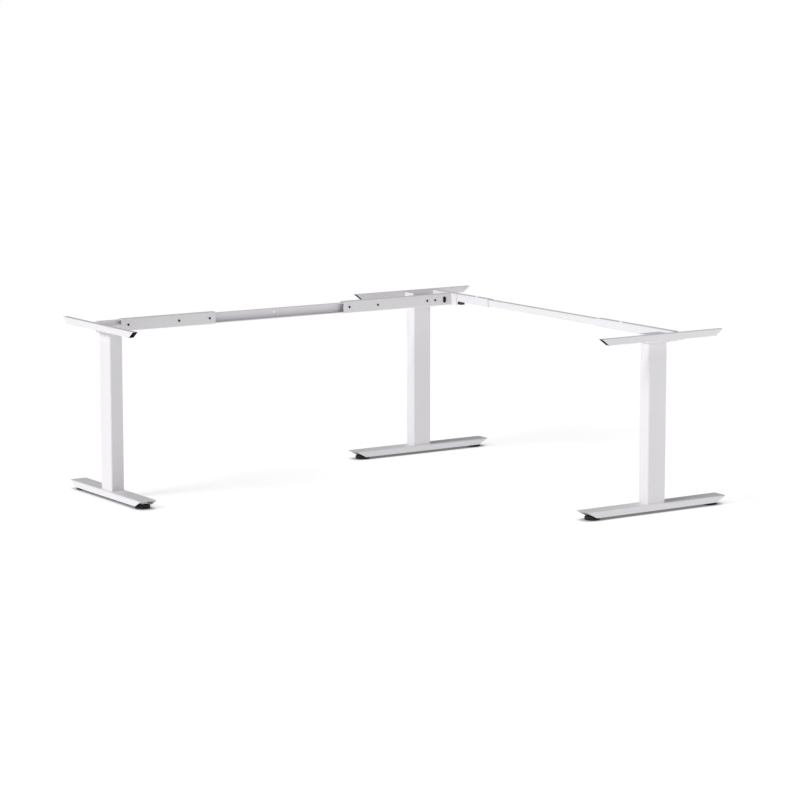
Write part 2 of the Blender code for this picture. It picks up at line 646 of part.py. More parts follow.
def build_right_rails():
    """Corner to right leg: an outer at each end and the inner between them."""
    for leg, name, start, end, tab in (
            ("corner", "rail_far_outer", V_FAR_START, V_FAR_END, 0.264),
            ("right", "rail_near_outer", V_NEAR_START, V_NEAR_END, 0.297)):
        column, turn, hand, _, near, height = LEGS[leg]
        section = [(v * hand, w) for v, w in outer_section(near, height)]
        rail = piece(name, outline_mesh(name, section, start, end, along="x"), "white_powder",
                     leg + "_top_axis", column, (0, 0, turn))
        sides = sorted((hand * near, hand * (near + TAB_DEPTH)))
        weld_tab(rail, "tab_" + leg, (tab, sides[0], RAIL_TOP - 0.001), (tab + TAB_WIDTH, sides[1], TOP))

    column, turn = LEGS["corner"][:2]
    rim = RAIL_WALL + FIT
    section = inner_section(V_NEAR + rim, V_NEAR + RAIL_DEPTH - rim,
                            RAIL_TOP - V_HEIGHT + rim, RAIL_TOP - rim)
    length = RIGHT_SPAN - V_NEAR_END + INNER_GRIP
    piece("rail_right_inner", outline_mesh("rail_right_inner", section, V_FAR_END - INNER_GRIP, length,
          along="x"), "white_powder", "right_rail_axis", column, (0, 0, turn))

    plug_top = RAIL_TOP - V_HEIGHT - FIT
    start = CORNER_SET - U_NEAR + U_FLANGE + 0.001
    plug = box_mesh("rail_plug", (start, V_NEAR + 0.0005, plug_top - PLUG_HEIGHT),
                    (start + PLUG_LENGTH, V_NEAR + 0.021, plug_top))
    piece("rail_plug", plug, "black_plastic", "corner_top_axis", column, (0, 0, turn))


for leg_name in LEGS:
    build_foot(leg_name)
    build_column(leg_name)
    build_head(leg_name)
    build_arm(leg_name)
build_left_rails()
build_right_rails()
bpy.context.view_layer.update()
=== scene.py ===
"""Studio scene of the L-shaped height adjustable desk frame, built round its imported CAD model.

Every length is in metres. Visible sheet-metal pieces are drawn again here with their bend radii,
broken edges, threads and sockets; hidden mechanism keeps its CAD shape and gets a finish.
"""
import json
import math

import bmesh
import bpy
from mathutils import Matrix, Vector


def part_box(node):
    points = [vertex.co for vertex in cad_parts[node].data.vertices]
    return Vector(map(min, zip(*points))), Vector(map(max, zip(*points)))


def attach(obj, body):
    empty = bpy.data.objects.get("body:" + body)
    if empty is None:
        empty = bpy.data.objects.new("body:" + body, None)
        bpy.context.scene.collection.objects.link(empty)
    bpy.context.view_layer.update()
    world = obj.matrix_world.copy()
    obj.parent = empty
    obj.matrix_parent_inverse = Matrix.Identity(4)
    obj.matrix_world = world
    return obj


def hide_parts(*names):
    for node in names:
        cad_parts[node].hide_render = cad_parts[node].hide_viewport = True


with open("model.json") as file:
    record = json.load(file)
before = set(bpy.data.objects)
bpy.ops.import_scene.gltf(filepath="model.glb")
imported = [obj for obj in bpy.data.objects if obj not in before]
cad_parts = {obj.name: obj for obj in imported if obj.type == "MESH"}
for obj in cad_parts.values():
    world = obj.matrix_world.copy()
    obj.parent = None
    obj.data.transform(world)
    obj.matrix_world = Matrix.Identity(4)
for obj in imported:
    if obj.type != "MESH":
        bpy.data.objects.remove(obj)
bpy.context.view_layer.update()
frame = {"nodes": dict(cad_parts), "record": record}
NODES = frame["nodes"]
LEG_NAMES = ("left", "corner", "right")
QUARTER = 0.5 * math.pi

# ---------------------------------------------------------------- sizes shared with the CAD
FIT = 0.0003                # gap between two pieces that touch
TOP = 0.6410                # plane the worktop rests on
RAIL_TOP = 0.6376
U_NEAR = 0.105              # rail face from the column axis, left leg
V_NEAR = 0.088              # the same for the corner and right legs
RAIL_DEPTH = 0.026
RAIL_WALL = 0.0024
RAIL_LIP = 0.008
RAIL_BEND = 0.0022          # centre-line radius of the folds
TUBE_WALL = 0.0015
TUBE_ROUND = 0.0055         # outer tube; each inner stage is rounded ROUND_STEP less
ROUND_STEP = 0.0012
ARM_WALL = 0.0015
ARM_SLOPE = 0.032 / 0.024   # overhang of an arm end over its height
FOOT_WALL = 0.0030
FOOT_SLOPE = 0.0430 / 0.0225
FOOT_ROUND = 0.0050
PAD_HEIGHT = 0.0120
BOSS_LOW = 0.0145           # underside of the nut in the foot
EDGE = 0.0003               # broken edge on sheared steel
STUD_RADIUS = 0.0040        # M8 stud in its nut
STUD_HOLE = 0.0043
NUT_RADIUS = 0.0090
COLLAR_RADIUS = 0.0064      # middle to flat of the glide's hexagon collar
ARM_HOLE = 0.0035
ARM_HOLES = (-0.225, -0.075, 0.075, 0.225)

PLATE = 0.0030              # column head sheet
CAP_LOW = 0.6080            # rim of the cap
CAP_SIDE = 0.0455           # column axis to the cap's side, along the arm
CAP_FACE = 0.0285           # column axis to the cap's face on the side away from the arm
HEAD_FRONT = 0.0340 - FIT   # column axis to the face that meets the arm
WALL_LOW = 0.6125           # lower edge of the wall from the cap to the rail
WALL_DROP = 0.084           # where that edge steps down to the cap
LINK_TOP = 0.6320           # upper edge of the left head's wall and link
STUB_END = 0.150            # column axis to the end of the stub inside the rail
LEFT_STUB_START = 0.008
BRACKET_LOW = 0.6025        # corner bracket: lower and upper edge, and its ends from the column axis
BRACKET_TOP = 0.6220
BRACKET_LEFT = -0.045
BRACKET_RIGHT = 0.022

SCREW_LEVEL = 0.0228        # screws below the rail top; their places count from the left column
SCREW_HOLE = 0.0028
SCREWS_LEFT = [0.129, 0.341, 0.471]
SCREWS_RIGHT = [1.087, 1.217]
BRACKET_SCREWS = [1.446, 1.483]
INNER_HOLE = (0.763, 0.616)     # hole in the left inner rail
TAB_LOW = 0.6340            # raised tabs: foot, size, and start along each leg's rail
TAB_WIDTH = 0.016
TAB_DEPTH = 0.0024
TAB_STARTS = {"left": 0.328, "corner": 0.264, "right": 0.297}
SLOT_AFTER_CORNER = 0.051   # cable slot, past the corner column
SLOT_WIDTH = 0.0058         # half sizes of the slot
SLOT_HEIGHT = 0.0110
FLANGE_BEND = 0.0060        # inner radius of the bent rail end


def column_axis(leg):
    """The point on the floor under a column."""
    low, high = (Vector(corner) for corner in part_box("tube_outer_" + leg))
    return Vector((0.5 * (low.x + high.x), 0.5 * (low.y + high.y), 0.0))


COLUMN = {leg: column_axis(leg) for leg in LEG_NAMES}
TURN = {"left": 0.0, "corner": -QUARTER, "right": QUARTER}
HAND = {"left": 1.0, "corner": 1.0, "right": -1.0}


def leg_space(leg):
    """Turns a leg's own (along its rail, set back, up) into world metres."""
    matrix = Matrix.Translation(COLUMN[leg]) @ Matrix.Rotation(TURN[leg], 4, "Z")
    return matrix @ Matrix.Diagonal((1.0, HAND[leg], 1.0, 1.0))


# ---------------------------------------------------------------- materials
WHITE = (0.81, 0.793, 0.82)


def new_material(name, colour, roughness, metallic=0.0):
    """A Principled material with constant values on the shader's own sockets."""
    made = bpy.data.materials.new(name)
    made.use_nodes = True
    shader = made.node_tree.nodes["Principled BSDF"]
    shader.inputs["Base Color"].default_value = (*colour, 1.0)
    shader.inputs["Roughness"].default_value = roughness
    shader.inputs["Metallic"].default_value = metallic
    return made, made.node_tree, shader


def object_noise(tree, scale, detail, stretch=(1.0, 1.0, 1.0)):
    """Noise in the object's own metres, so its grain keeps one size on every piece."""
    place = tree.nodes.new("ShaderNodeTexCoord")
    mapping = tree.nodes.new("ShaderNodeMapping")
    mapping.inputs["Scale"].default_value = stretch
    noise = tree.nodes.new("ShaderNodeTexNoise")
    noise.inputs["Scale"].default_value = scale
    noise.inputs["Detail"].default_value = detail
    tree.links.new(place.outputs["Object"], mapping.inputs["Vector"])
    tree.links.new(mapping.outputs["Vector"], noise.inputs["Vector"])
    return noise


def spread(tree, source, low, high, target):
    """Drives a value socket between low and high."""
    ramp = tree.nodes.new("ShaderNodeMapRange")
    ramp.inputs["From Min"].default_value = 0.3
    ramp.inputs["From Max"].default_value = 0.7
    ramp.inputs["To Min"].default_value = low
    ramp.inputs["To Max"].default_value = high
    tree.links.new(source, ramp.inputs["Value"])
    tree.links.new(ramp.outputs["Result"], target)


def tint(tree, source, dark, light, target):
    """Drives a colour socket between two colours."""
    ramp = tree.nodes.new("ShaderNodeValToRGB")
    ramp.color_ramp.elements[0].position = 0.3
    ramp.color_ramp.elements[0].color = (*dark, 1.0)
    ramp.color_ramp.elements[1].position = 0.7
    ramp.color_ramp.elements[1].color = (*light, 1.0)
    tree.links.new(source, ramp.inputs["Fac"])
    tree.links.new(ramp.outputs["Color"], target)


def bumps(tree, shader, layers):
    """Stacks bump layers of (height output, strength, depth in metres)."""
    previous = None
    for source, strength, depth in layers:
        bump = tree.nodes.new("ShaderNodeBump")
        bump.inputs["Strength"].default_value = strength
        bump.inputs["Distance"].default_value = depth
        tree.links.new(source, bump.inputs["Height"])
        if previous:
            tree.links.new(previous.outputs["Normal"], bump.inputs["Normal"])
        previous = bump
    tree.links.new(previous.outputs["Normal"], shader.inputs["Normal"])


def powder_coat():
    """White powder coat: orange peel about a millimetre across over a finer grain."""
    made, tree, shader = new_material("powder_coat_white", WHITE, 0.42)
    cloud = object_noise(tree, 9.0, 2.0)
    peel = object_noise(tree, 650.0, 1.0)
    grain = object_noise(tree, 2600.0, 2.0)
    darker = tuple(0.985 * c for c in WHITE)
    tint(tree, cloud.outputs["Fac"], darker, WHITE, shader.inputs["Base Color"])
    spread(tree, peel.outputs["Fac"], 0.38, 0.48, shader.inputs["Roughness"])
    bumps(tree, shader, [(peel.outputs["Fac"], 0.25, 0.00012), (grain.outputs["Fac"], 0.20, 0.00004)])
    return made


def bare_steel_and_painted_shade():
    """Unpainted mill steel inside the tubes, dark scale with long faint streaks; its darkness is partly the
    steel's own and partly painted shade for the shadowed inside, and on the sawn ends it is painted shade
    only.
    """
    made, tree, shader = new_material("bare_steel_and_painted_shade", (0.06, 0.06, 0.065), 0.6, 0.6)
    patch = object_noise(tree, 60.0, 5.0)
    streak = object_noise(tree, 90.0, 3.0, (0.1, 0.1, 3.0))
    tint(tree, patch.outputs["Fac"], (0.03, 0.03, 0.034), (0.10, 0.10, 0.105), shader.inputs["Base Color"])
    spread(tree, streak.outputs["Fac"], 0.5, 0.75, shader.inputs["Roughness"])
    bumps(tree, shader, [(streak.outputs["Fac"], 0.2, 0.0001)])
    return made


def moulded(name, dark, light, roughness, grain_scale, depth):
    """Moulded plastic or rubber with a fine spark-eroded grain."""
    made, tree, shader = new_material(name, light, roughness)
    grain = object_noise(tree, grain_scale, 3.0)
    cloud = object_noise(tree, 45.0, 3.0)
    tint(tree, cloud.outputs["Fac"], dark, light, shader.inputs["Base Color"])
    spread(tree, grain.outputs["Fac"], roughness - 0.06, roughness + 0.08, shader.inputs["Roughness"])
    bumps(tree, shader, [(grain.outputs["Fac"], 0.35, depth)])
    return made


def metal(name, dark, light, roughness, metallic, stretch):
    """Turned or plated metal with fine marks stretched along one axis."""
    made, tree, shader = new_material(name, light, roughness, metallic)
    marks = object_noise(tree, 900.0, 3.0, stretch)
    cloud = object_noise(tree, 70.0, 4.0)
    tint(tree, cloud.outputs["Fac"], dark, light, shader.inputs["Base Color"])
    spread(tree, marks.outputs["Fac"], roughness - 0.07, roughness + 0.10, shader.inputs["Roughness"])
    bumps(tree, shader, [(marks.outputs["Fac"], 0.15, 0.00004)])
    return made


POWDER = powder_coat()
# dark steel that is also painted shade inside the arm tubes and on their sawn ends
STEEL_AND_PAINTED_SHADE = bare_steel_and_painted_shade()
PLASTIC = moulded("black_plastic_grain", (0.012, 0.012, 0.013), (0.022, 0.022, 0.024),
                  0.50, 1800.0, 0.00005)
RUBBER = moulded("black_rubber_grain", (0.010, 0.010, 0.010), (0.018, 0.018, 0.018),
                 0.78, 1100.0, 0.00008)
OXIDE = metal("black_oxide", (0.014, 0.014, 0.016), (0.030, 0.030, 0.033), 0.38, 0.9, (1.0, 1.0, 1.0))
ZINC = metal("zinc_plate", (0.50, 0.51, 0.54), (0.66, 0.67, 0.69), 0.34, 1.0, (1.0, 1.0, 0.2))
CAN = metal("motor_black", (0.020, 0.020, 0.022), (0.045, 0.045, 0.048), 0.45, 0.4, (1.0, 1.0, 0.1))
BODY_OF = {}
for body_name, members in frame["record"]["behaviour"]["bodies"].items():
    for member in members:
        BODY_OF[member] = body_name


# ---------------------------------------------------------------- mesh helpers
def finish_mesh(name, points, faces, smooth_angle=35.0):
    """A mesh with outward normals, smooth except across sharp edges."""
    mesh = bpy.data.meshes.new(name)
    mesh.from_pydata([tuple(p) for p in points], [], faces)
    work = bmesh.new()
    work.from_mesh(mesh)
    bmesh.ops.remove_doubles(work, verts=work.verts, dist=1e-7)
    bmesh.ops.recalc_face_normals(work, faces=work.faces)
    work.to_mesh(mesh)
    work.free()
    mesh.polygons.foreach_set("use_smooth", [True] * len(mesh.polygons))
    mesh.set_sharp_from_angle(angle=math.radians(smooth_angle))
    return mesh


def add_piece(name, mesh, paint, body, nodes, matrix):
    """Puts a mesh in the scene, on its body, in the place of the CAD nodes it stands for."""
    made = bpy.data.objects.new(name, mesh)
    bpy.context.scene.collection.objects.link(made)
    if not mesh.materials:
        mesh.materials.append(paint)
    made.matrix_world = matrix
    weight = made.modifiers.new("face_weight", "WEIGHTED_NORMAL")
    weight.keep_sharp = True
    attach(made, body)
    if nodes:
        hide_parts(*nodes)
    return made


def offset_path(corners, offset, radius, steps, closed):
    """A polyline with rounded corners, moved sideways by offset (positive is to its left)."""
    points = []
    count = len(corners)
    for i, corner in enumerate(corners):
        here = Vector(corner)
        if not closed and i in (0, count - 1):
            other = Vector(corners[1 if i == 0 else count - 2])
            along = (other - here if i == 0 else here - other).normalized()
            points.append(here + Vector((-along.y, along.x)) * offset)
            continue
        before = (here - Vector(corners[i - 1])).normalized()
        after = (Vector(corners[(i + 1) % count]) - here).normalized()
        angle = math.atan2(before.x * after.y - before.y * after.x, before.dot(after))
        side = 1.0 if angle > 0.0 else -1.0
        normal = Vector((-before.y, before.x)) * side
        centre = here - before * radius * math.tan(0.5 * abs(angle)) + normal * radius
        for step in range(steps + 1):
            turn = Matrix.Rotation(angle * step / steps, 2)
            points.append(centre - (turn @ normal) * (radius - side * offset))
    return points


def sheet_bar(corners, wall, radius, low, high, place, closed=False, steps=5):
    """Folded sheet: the centre line in corners, extruded from low to high, all edges broken.

    low and high are numbers or functions of a section point; place turns (u, v, w) into metres.
    """
    half = 0.5 * wall
    stations = []
    for end, shift, thin in ((low, 0.0, EDGE), (low, EDGE, 0.0), (high, -EDGE, 0.0), (high, 0.0, EDGE)):
        rows = []
        for offset in (half - thin, thin - half):
            row = []
            for u, v in offset_path(corners, offset, radius, steps, closed):
                w = (end(u, v) if callable(end) else end) + shift
                row.append(place(u, v, w))
            rows.append(row)
        stations.append(rows)
    count = len(stations[0][0])
    points = [p for rows in stations for row in rows for p in row]

    def at(station, side, i):
        return (2 * station + side) * count + i % count

    faces = []
    spans = count if closed else count - 1
    for i in range(spans):
        for s in range(3):
            for side in (0, 1):
                faces.append((at(s, side, i), at(s, side, i + 1),
                              at(s + 1, side, i + 1), at(s + 1, side, i)))
        for s in (0, 3):
            faces.append((at(s, 0, i), at(s, 0, i + 1), at(s, 1, i + 1), at(s, 1, i)))
    if not closed:
        for s in range(3):
            for i in (0, count - 1):
                faces.append((at(s, 0, i), at(s + 1, 0, i), at(s + 1, 1, i), at(s, 1, i)))
    return points, faces


def rounded_box(low, high, radius, segments=3):
    """Points and faces of a box with all its edges rounded."""
    work = bmesh.new()
    bmesh.ops.create_cube(work, size=1.0)
    size = Vector(high) - Vector(low)
    middle = 0.5 * (Vector(high) + Vector(low))
    for vert in work.verts:
        vert.co = Vector((vert.co.x * size.x, vert.co.y * size.y, vert.co.z * size.z)) + middle
    bmesh.ops.bevel(work, geom=work.edges[:], offset=radius, segments=segments, profile=0.5, affect="EDGES")
    work.verts.index_update()
    points = [v.co.copy() for v in work.verts]
    faces = [[v.index for v in f.verts] for f in work.faces]
    work.free()
    return points, faces


def join(parts):
    """Joins (points, faces) pairs into one pair."""
    points, faces = [], []
    for some_points, some_faces in parts:
        start = len(points)
        points.extend(some_points)
        faces.extend([tuple(start + i for i in face) for face in some_faces])
    return points, faces


def lathe(profile, steps=40):
    """Points and faces of a turned solid; a third value in a row gives its number of flat sides."""
    points, faces = [], []
    for row in profile:
        for i in range(steps):
            angle = 2.0 * math.pi * i / steps
            reach = row[0]
            if len(row) > 2:
                sector = 2.0 * math.pi / row[2]
                reach /= math.cos((angle % sector) - 0.5 * sector)
            points.append(Vector((reach * math.cos(angle), reach * math.sin(angle), row[1])))
    for level in range(len(profile) - 1):
        for i in range(steps):
            j = (i + 1) % steps
            low, high = level * steps, (level + 1) * steps
            faces.append((low + i, low + j, high + j, high + i))
    faces.append(tuple(range(steps)))
    faces.append(tuple(range((len(profile) - 1) * steps, len(profile) * steps)))
    return points, faces


def thread(radius, depth, pitch, low, high, steps=20, per_turn=6):
    """Points and faces of a rod with a helical thread that fades out at both ends."""
    rings = max(3, int(per_turn * (high - low) / pitch) + 1)
    points, faces = [], []
    for ring in range(rings):
        z = low + (high - low) * ring / (rings - 1)
        fade = min(1.0, min(z - low, high - z) / pitch)
        for i in range(steps):
            turn = i / steps
            wave = abs(2.0 * ((z / pitch - turn) % 1.0) - 1.0)
            reach = radius - depth * (1.0 - fade + fade * (1.0 - wave))
            angle = 2.0 * math.pi * turn
            points.append(Vector((reach * math.cos(angle), reach * math.sin(angle), z)))
    for ring in range(rings - 1):
        for i in range(steps):
            j = (i + 1) % steps
            under, over = ring * steps, (ring + 1) * steps
            faces.append((under + i, under + j, over + j, over + i))
    faces.append(tuple(range(steps)))
    faces.append(tuple(range((rings - 1) * steps, rings * steps)))
    return points, faces


def drill(mesh_owner, cutters, operation="DIFFERENCE"):
    """Cuts helper solids out of a piece, or welds them on, and removes the helpers again."""
    helpers = []
    for points, faces in cutters:
        helper = bpy.data.objects.new("cutter", finish_mesh("cutter", points, faces))
        bpy.context.scene.collection.objects.link(helper)
        modifier = mesh_owner.modifiers.new("drill", "BOOLEAN")
        modifier.operation = operation
        modifier.solver = "EXACT"
        modifier.object = helper
        helpers.append(helper)
    bpy.context.view_layer.update()
    graph = bpy.context.evaluated_depsgraph_get()
    cut = bpy.data.meshes.new_from_object(mesh_owner.evaluated_get(graph), depsgraph=graph)
    cut.name = mesh_owner.name
    for helper in helpers:
        bpy.data.objects.remove(helper, do_unlink=True)
    return cut


def cut_mesh(mesh, cutters):
    """A mesh with solids cut out of it."""
    owner = bpy.data.objects.new(mesh.name, mesh)
    bpy.context.scene.collection.objects.link(owner)
    cut = drill(owner, cutters)
    bpy.data.objects.remove(owner, do_unlink=True)
    cut.polygons.foreach_set("use_smooth", [True] * len(cut.polygons))
    cut.set_sharp_from_angle(angle=math.radians(35.0))
    return cut


def merged_mesh(name, first, second):
    """The union of two solids as one mesh."""
    owner = bpy.data.objects.new(name, finish_mesh(name, *first))
    owner.data.materials.append(POWDER)
    bpy.context.scene.collection.objects.link(owner)
    merged = drill(owner, [second], "UNION")
    bpy.data.objects.remove(owner, do_unlink=True)
    return merged


def drilled_mesh(name, points, faces, cutters, materials, face_slot=None):
    """A finished mesh with holes. face_slot says which faces take the second material."""
    mesh = finish_mesh(name, points, faces)
    for paint in materials:
        mesh.materials.append(paint)
    if face_slot:
        for polygon in mesh.polygons:
            polygon.material_index = face_slot(polygon)
    return cut_mesh(mesh, cutters)


def rod(radius, start, end, steps=28):
    """A plain rod between two points, used as a drill."""
    start, end = Vector(start), Vector(end)
    turn = (end - start).to_track_quat("Z", "Y").to_matrix()
    points, faces = lathe([(radius, 0.0), (radius, (end - start).length)], steps)
    return [start + turn @ p for p in points], faces


# ---------------------------------------------------------------- shapes in leg space
def rounded_loop(half_x, half_y, radius, z, steps=8, shift=0.0):
    """A rounded rectangle of points at height z, its middle moved along x by shift."""
    points = []
    for quarter, (sx, sy) in enumerate(((1, 1), (-1, 1), (-1, -1), (1, -1))):
        for i in range(steps):
            angle = QUARTER * (quarter + i / (steps - 1))
            points.append(Vector((shift + sx * (half_x - radius) + radius * math.cos(angle),
                                  sy * (half_y - radius) + radius * math.sin(angle), z)))
    return points


def loft(loops, cap_first=True, cap_last=True):
    """Points and faces of a skin over loops of equal length."""
    count = len(loops[0])
    points = [p for loop in loops for p in loop]
    faces = []
    for level in range(len(loops) - 1):
        for i in range(count):
            j = (i + 1) % count
            low, high = level * count, (level + 1) * count
            faces.append((low + i, low + j, high + j, high + i))
    if cap_first:
        faces.append(tuple(range(count)))
    if cap_last:
        faces.append(tuple(range((len(loops) - 1) * count, len(loops) * count)))
    return points, faces


def plate(outline, low, high, place, corner=0.0010):
    """Cut sheet: a flat outline between two levels, its corners and edges slightly broken."""
    loops = []
    area = sum(a[0] * b[1] - b[0] * a[1] for a, b in zip(outline, outline[1:] + outline[:1]))
    inward = EDGE if area > 0.0 else -EDGE
    for offset, level in ((inward, low), (0.0, low + EDGE), (0.0, high - EDGE), (inward, high)):
        loops.append([place(u, v, level) for u, v in offset_path(outline, offset, corner, 3, True)])
    return loft(loops)


def channel_path(near, far, low, high, lip):
    """Centre line of a C section: lips at far, flat face at near."""
    half = 0.5 * RAIL_WALL
    side = half if far > near else -half
    return [(far - side, low + lip), (far - side, low + half), (near + side, low + half),
            (near + side, high - half), (far - side, high - half), (far - side, high - lip)]


def inner_path(web, open_side, low, high):
    """Centre line of a U section with its flanges towards open_side."""
    half = 0.5 * RAIL_WALL
    side = half if open_side > web else -half
    return [(open_side, low + half), (web + side, low + half),
            (web + side, high - half), (open_side, high - half)]


def bar_along_x(path, start, end, hand=1.0):
    """A folded rail section, given in (y, z), from start to end along x."""
    return sheet_bar(path, RAIL_WALL, RAIL_BEND, start, end, lambda u, v, w: Vector((w, u * hand, v)))


def leg_matrix(leg):
    """Where a leg's pieces are placed and turned; their meshes carry the hand."""
    return Matrix.Translation(COLUMN[leg]) @ Matrix.Rotation(TURN[leg], 4, "Z")


def leg_span(leg, node):
    """A node's corners in leg space, as (low, high) with y counted on the set-back side."""
    low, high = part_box(node)
    back = leg_space(leg).inverted()
    ends = [back @ Vector(low), back @ Vector(high)]
    return (Vector([min(a, b) for a, b in zip(*ends)]), Vector([max(a, b) for a, b in zip(*ends)]))


# ---------------------------------------------------------------- telescopic columns
def weld_bead(half_x, half_y, radius, z, size, steps=9):
    """A fillet weld round a tube, with the small ripples of the torch."""
    loops = []
    round_path = rounded_loop(half_x, half_y, radius, z, 12)
    dense = []
    for i, here in enumerate(round_path):
        there = round_path[(i + 1) % len(round_path)]
        parts = max(1, int((there - here).length / 0.0009))
        dense.extend(here.lerp(there, k / parts) for k in range(parts))
    centre = Vector((0.0, 0.0, z))
    for i, here in enumerate(dense):
        along = (dense[(i + 1) % len(dense)] - dense[i - 1]).normalized()
        out = Vector((along.y, -along.x, 0.0))
        if out.dot(here - centre) < 0.0:
            out.negate()
        swell = size * (1.0 + 0.10 * math.sin(2.6 * i) + 0.05 * math.sin(0.37 * i))
        ring = []
        for k in range(steps):
            angle = QUARTER * k / (steps - 1)
            sag = 1.0 - 0.22 * math.sin(2.0 * angle)
            ring.append(here + out * (swell * sag * math.cos(angle))
                        + Vector((0.0, 0.0, swell * sag * math.sin(angle))))
        ring.append(here - out * 0.0002)
        loops.append(ring)
    count = steps + 1
    points = [p for ring in loops for p in ring]
    faces = []
    for i in range(len(loops)):
        j = (i + 1) % len(loops)
        for k in range(count):
            m = (k + 1) % count
            faces.append((i * count + k, i * count + m, j * count + m, j * count + k))
    return points, faces


def build_column(leg):
    """Three telescoping tubes and the weld round the outer one's foot."""
    for stage, word in enumerate(("outer", "middle", "inner")):
        node = "tube_%s_%s" % (word, leg)
        low, high = leg_span(leg, node)
        half_x = 0.5 * (high.x - low.x) - 0.5 * TUBE_WALL
        half_y = 0.5 * (high.y - low.y) - 0.5 * TUBE_WALL
        radius = TUBE_ROUND - ROUND_STEP * stage - 0.5 * TUBE_WALL
        path = [(half_x, half_y), (-half_x, half_y), (-half_x, -half_y), (half_x, -half_y)]
        bar = sheet_bar(path, TUBE_WALL, radius, low.z, high.z, lambda u, v, w: Vector((u, v, w)), True, 8)
        mesh = finish_mesh(node + "_skin", *bar)
        add_piece("column_%s_%s" % (word, leg), mesh, POWDER, BODY_OF[node], [node], leg_matrix(leg))
    low, high = leg_span(leg, "tube_outer_" + leg)
    half_x = 0.5 * (high.x - low.x)
    half_y = 0.5 * (high.y - low.y)
    bead = weld_bead(half_x, half_y, TUBE_ROUND, low.z - FIT, 0.0022)
    add_piece("weld_foot_" + leg, finish_mesh("weld_foot_" + leg, *bead, 50.0), POWDER,
              BODY_OF["foot_" + leg], (), leg_matrix(leg))


# ---------------------------------------------------------------- feet and glides
def build_foot(leg):
    """Folded foot, open below and at its slanted ends, with a welded nut over each glide."""
    node = "foot_" + leg
    low, high = leg_span(leg, node)
    side = high.x - 0.5 * FOOT_WALL
    level = high.z - 0.5 * FOOT_WALL
    path = [(-side, low.z), (-side, level), (side, level), (side, low.z)]

    def end(sign):
        return lambda u, v: sign * (high.y - (high.z - v) * FOOT_SLOPE)

    shell = sheet_bar(path, FOOT_WALL, FOOT_ROUND - 0.5 * FOOT_WALL, end(-1.0), end(1.0),
                      lambda u, v, w: Vector((u, w, v)), steps=8)
    add_piece("foot_shell_" + leg, finish_mesh(node + "_skin", *shell), POWDER,
              BODY_OF[node], [node], leg_matrix(leg))

    for side_name in ("front", "back"):
        glide_low, glide_high = leg_span(leg, "glide_%s_%s" % (leg, side_name))
        centre = 0.5 * (glide_low + glide_high)
        place = Matrix.Translation(leg_space(leg) @ Vector((centre.x, centre.y, 0.0)))
        roof = high.z - FOOT_WALL
        body = lathe([(STUD_HOLE, BOSS_LOW + 0.0004), (NUT_RADIUS - 0.0004, BOSS_LOW),
                      (NUT_RADIUS, BOSS_LOW + 0.0006), (NUT_RADIUS, roof)], 36)
        bush = lathe([(STUD_HOLE - 0.0001, BOSS_LOW + 0.0006), (STUD_HOLE - 0.0001, roof)], 36)
        nut = finish_mesh("nut", *join([body, bush]))
        add_piece("foot_nut_%s_%s" % (leg, side_name), nut, ZINC, BODY_OF[node], (), place)
        build_glide(leg, side_name, place, 0.5 * (glide_high.x - glide_low.x), glide_high.z)


def build_glide(leg, side, place, pad, stud_top):
    """Ribbed pad with a hexagon collar on a threaded stud."""
    node = "glide_%s_%s" % (leg, side)
    profile = [(pad - 0.0060, 0.0006), (pad - 0.0045, 0.0), (pad - 0.0012, 0.0), (pad - 0.0004, 0.0005),
               (pad, 0.0013)]
    for rib in range(5):
        z = 0.0018 + 0.0013 * rib
        profile += [(pad, z), (pad - 0.0004, z + 0.0003), (pad - 0.0004, z + 0.0006), (pad, z + 0.0009)]
    profile += [(pad, 0.0094), (pad - 0.0004, 0.0106), (pad - 0.0014, 0.0116), (pad - 0.0028, PAD_HEIGHT),
                (pad - 0.0080, PAD_HEIGHT), (pad - 0.0086, 0.0116), (pad - 0.0092, 0.0116),
                (pad - 0.0098, PAD_HEIGHT), (0.0068, PAD_HEIGHT)]
    base = lathe(profile, 72)
    collar_top = BOSS_LOW - FIT
    narrow = COLLAR_RADIUS - 0.0006
    collar = lathe([(narrow, PAD_HEIGHT - 0.0005, 6), (COLLAR_RADIUS, PAD_HEIGHT - 0.0001, 6),
                    (COLLAR_RADIUS, collar_top - 0.0005, 6), (narrow, collar_top, 6)], 48)
    mesh = finish_mesh(node + "_pad", *join([base, collar]))
    add_piece("pad_%s_%s" % (leg, side), mesh, RUBBER, node, [node], place)
    stud = thread(STUD_RADIUS, 0.0006, 0.00125, collar_top - 0.0003, stud_top)
    add_piece("stud_%s_%s" % (leg, side), finish_mesh(node + "_stud", *stud, 60.0), ZINC, node, (), place)


# ---------------------------------------------------------------- column heads
def corner_bracket():
    """Angle from the corner cap into the open back of the left rail, drilled for two screws."""
    span = COLUMN["corner"] - COLUMN["left"]
    reach = span.y - U_NEAR - RAIL_WALL - FIT
    shelf = BRACKET_TOP - 0.5 * PLATE
    face = reach - 0.5 * PLATE
    angle = sheet_bar([(CAP_FACE - 0.001, shelf), (face, shelf), (face, BRACKET_LOW)], PLATE, 0.0030,
                      BRACKET_LEFT, BRACKET_RIGHT, lambda u, v, w: Vector((u, w, v)), steps=6)
    level = RAIL_TOP - SCREW_LEVEL
    holes = []
    for place in BRACKET_SCREWS:
        y = place - span.x
        holes.append(rod(SCREW_HOLE, (reach - 0.008, y, level), (reach + 0.004, y, level)))
    drilled = drilled_mesh("bracket", *angle, holes, [POWDER])
    return [v.co.copy() for v in drilled.vertices], [tuple(f.vertices) for f in drilled.polygons]


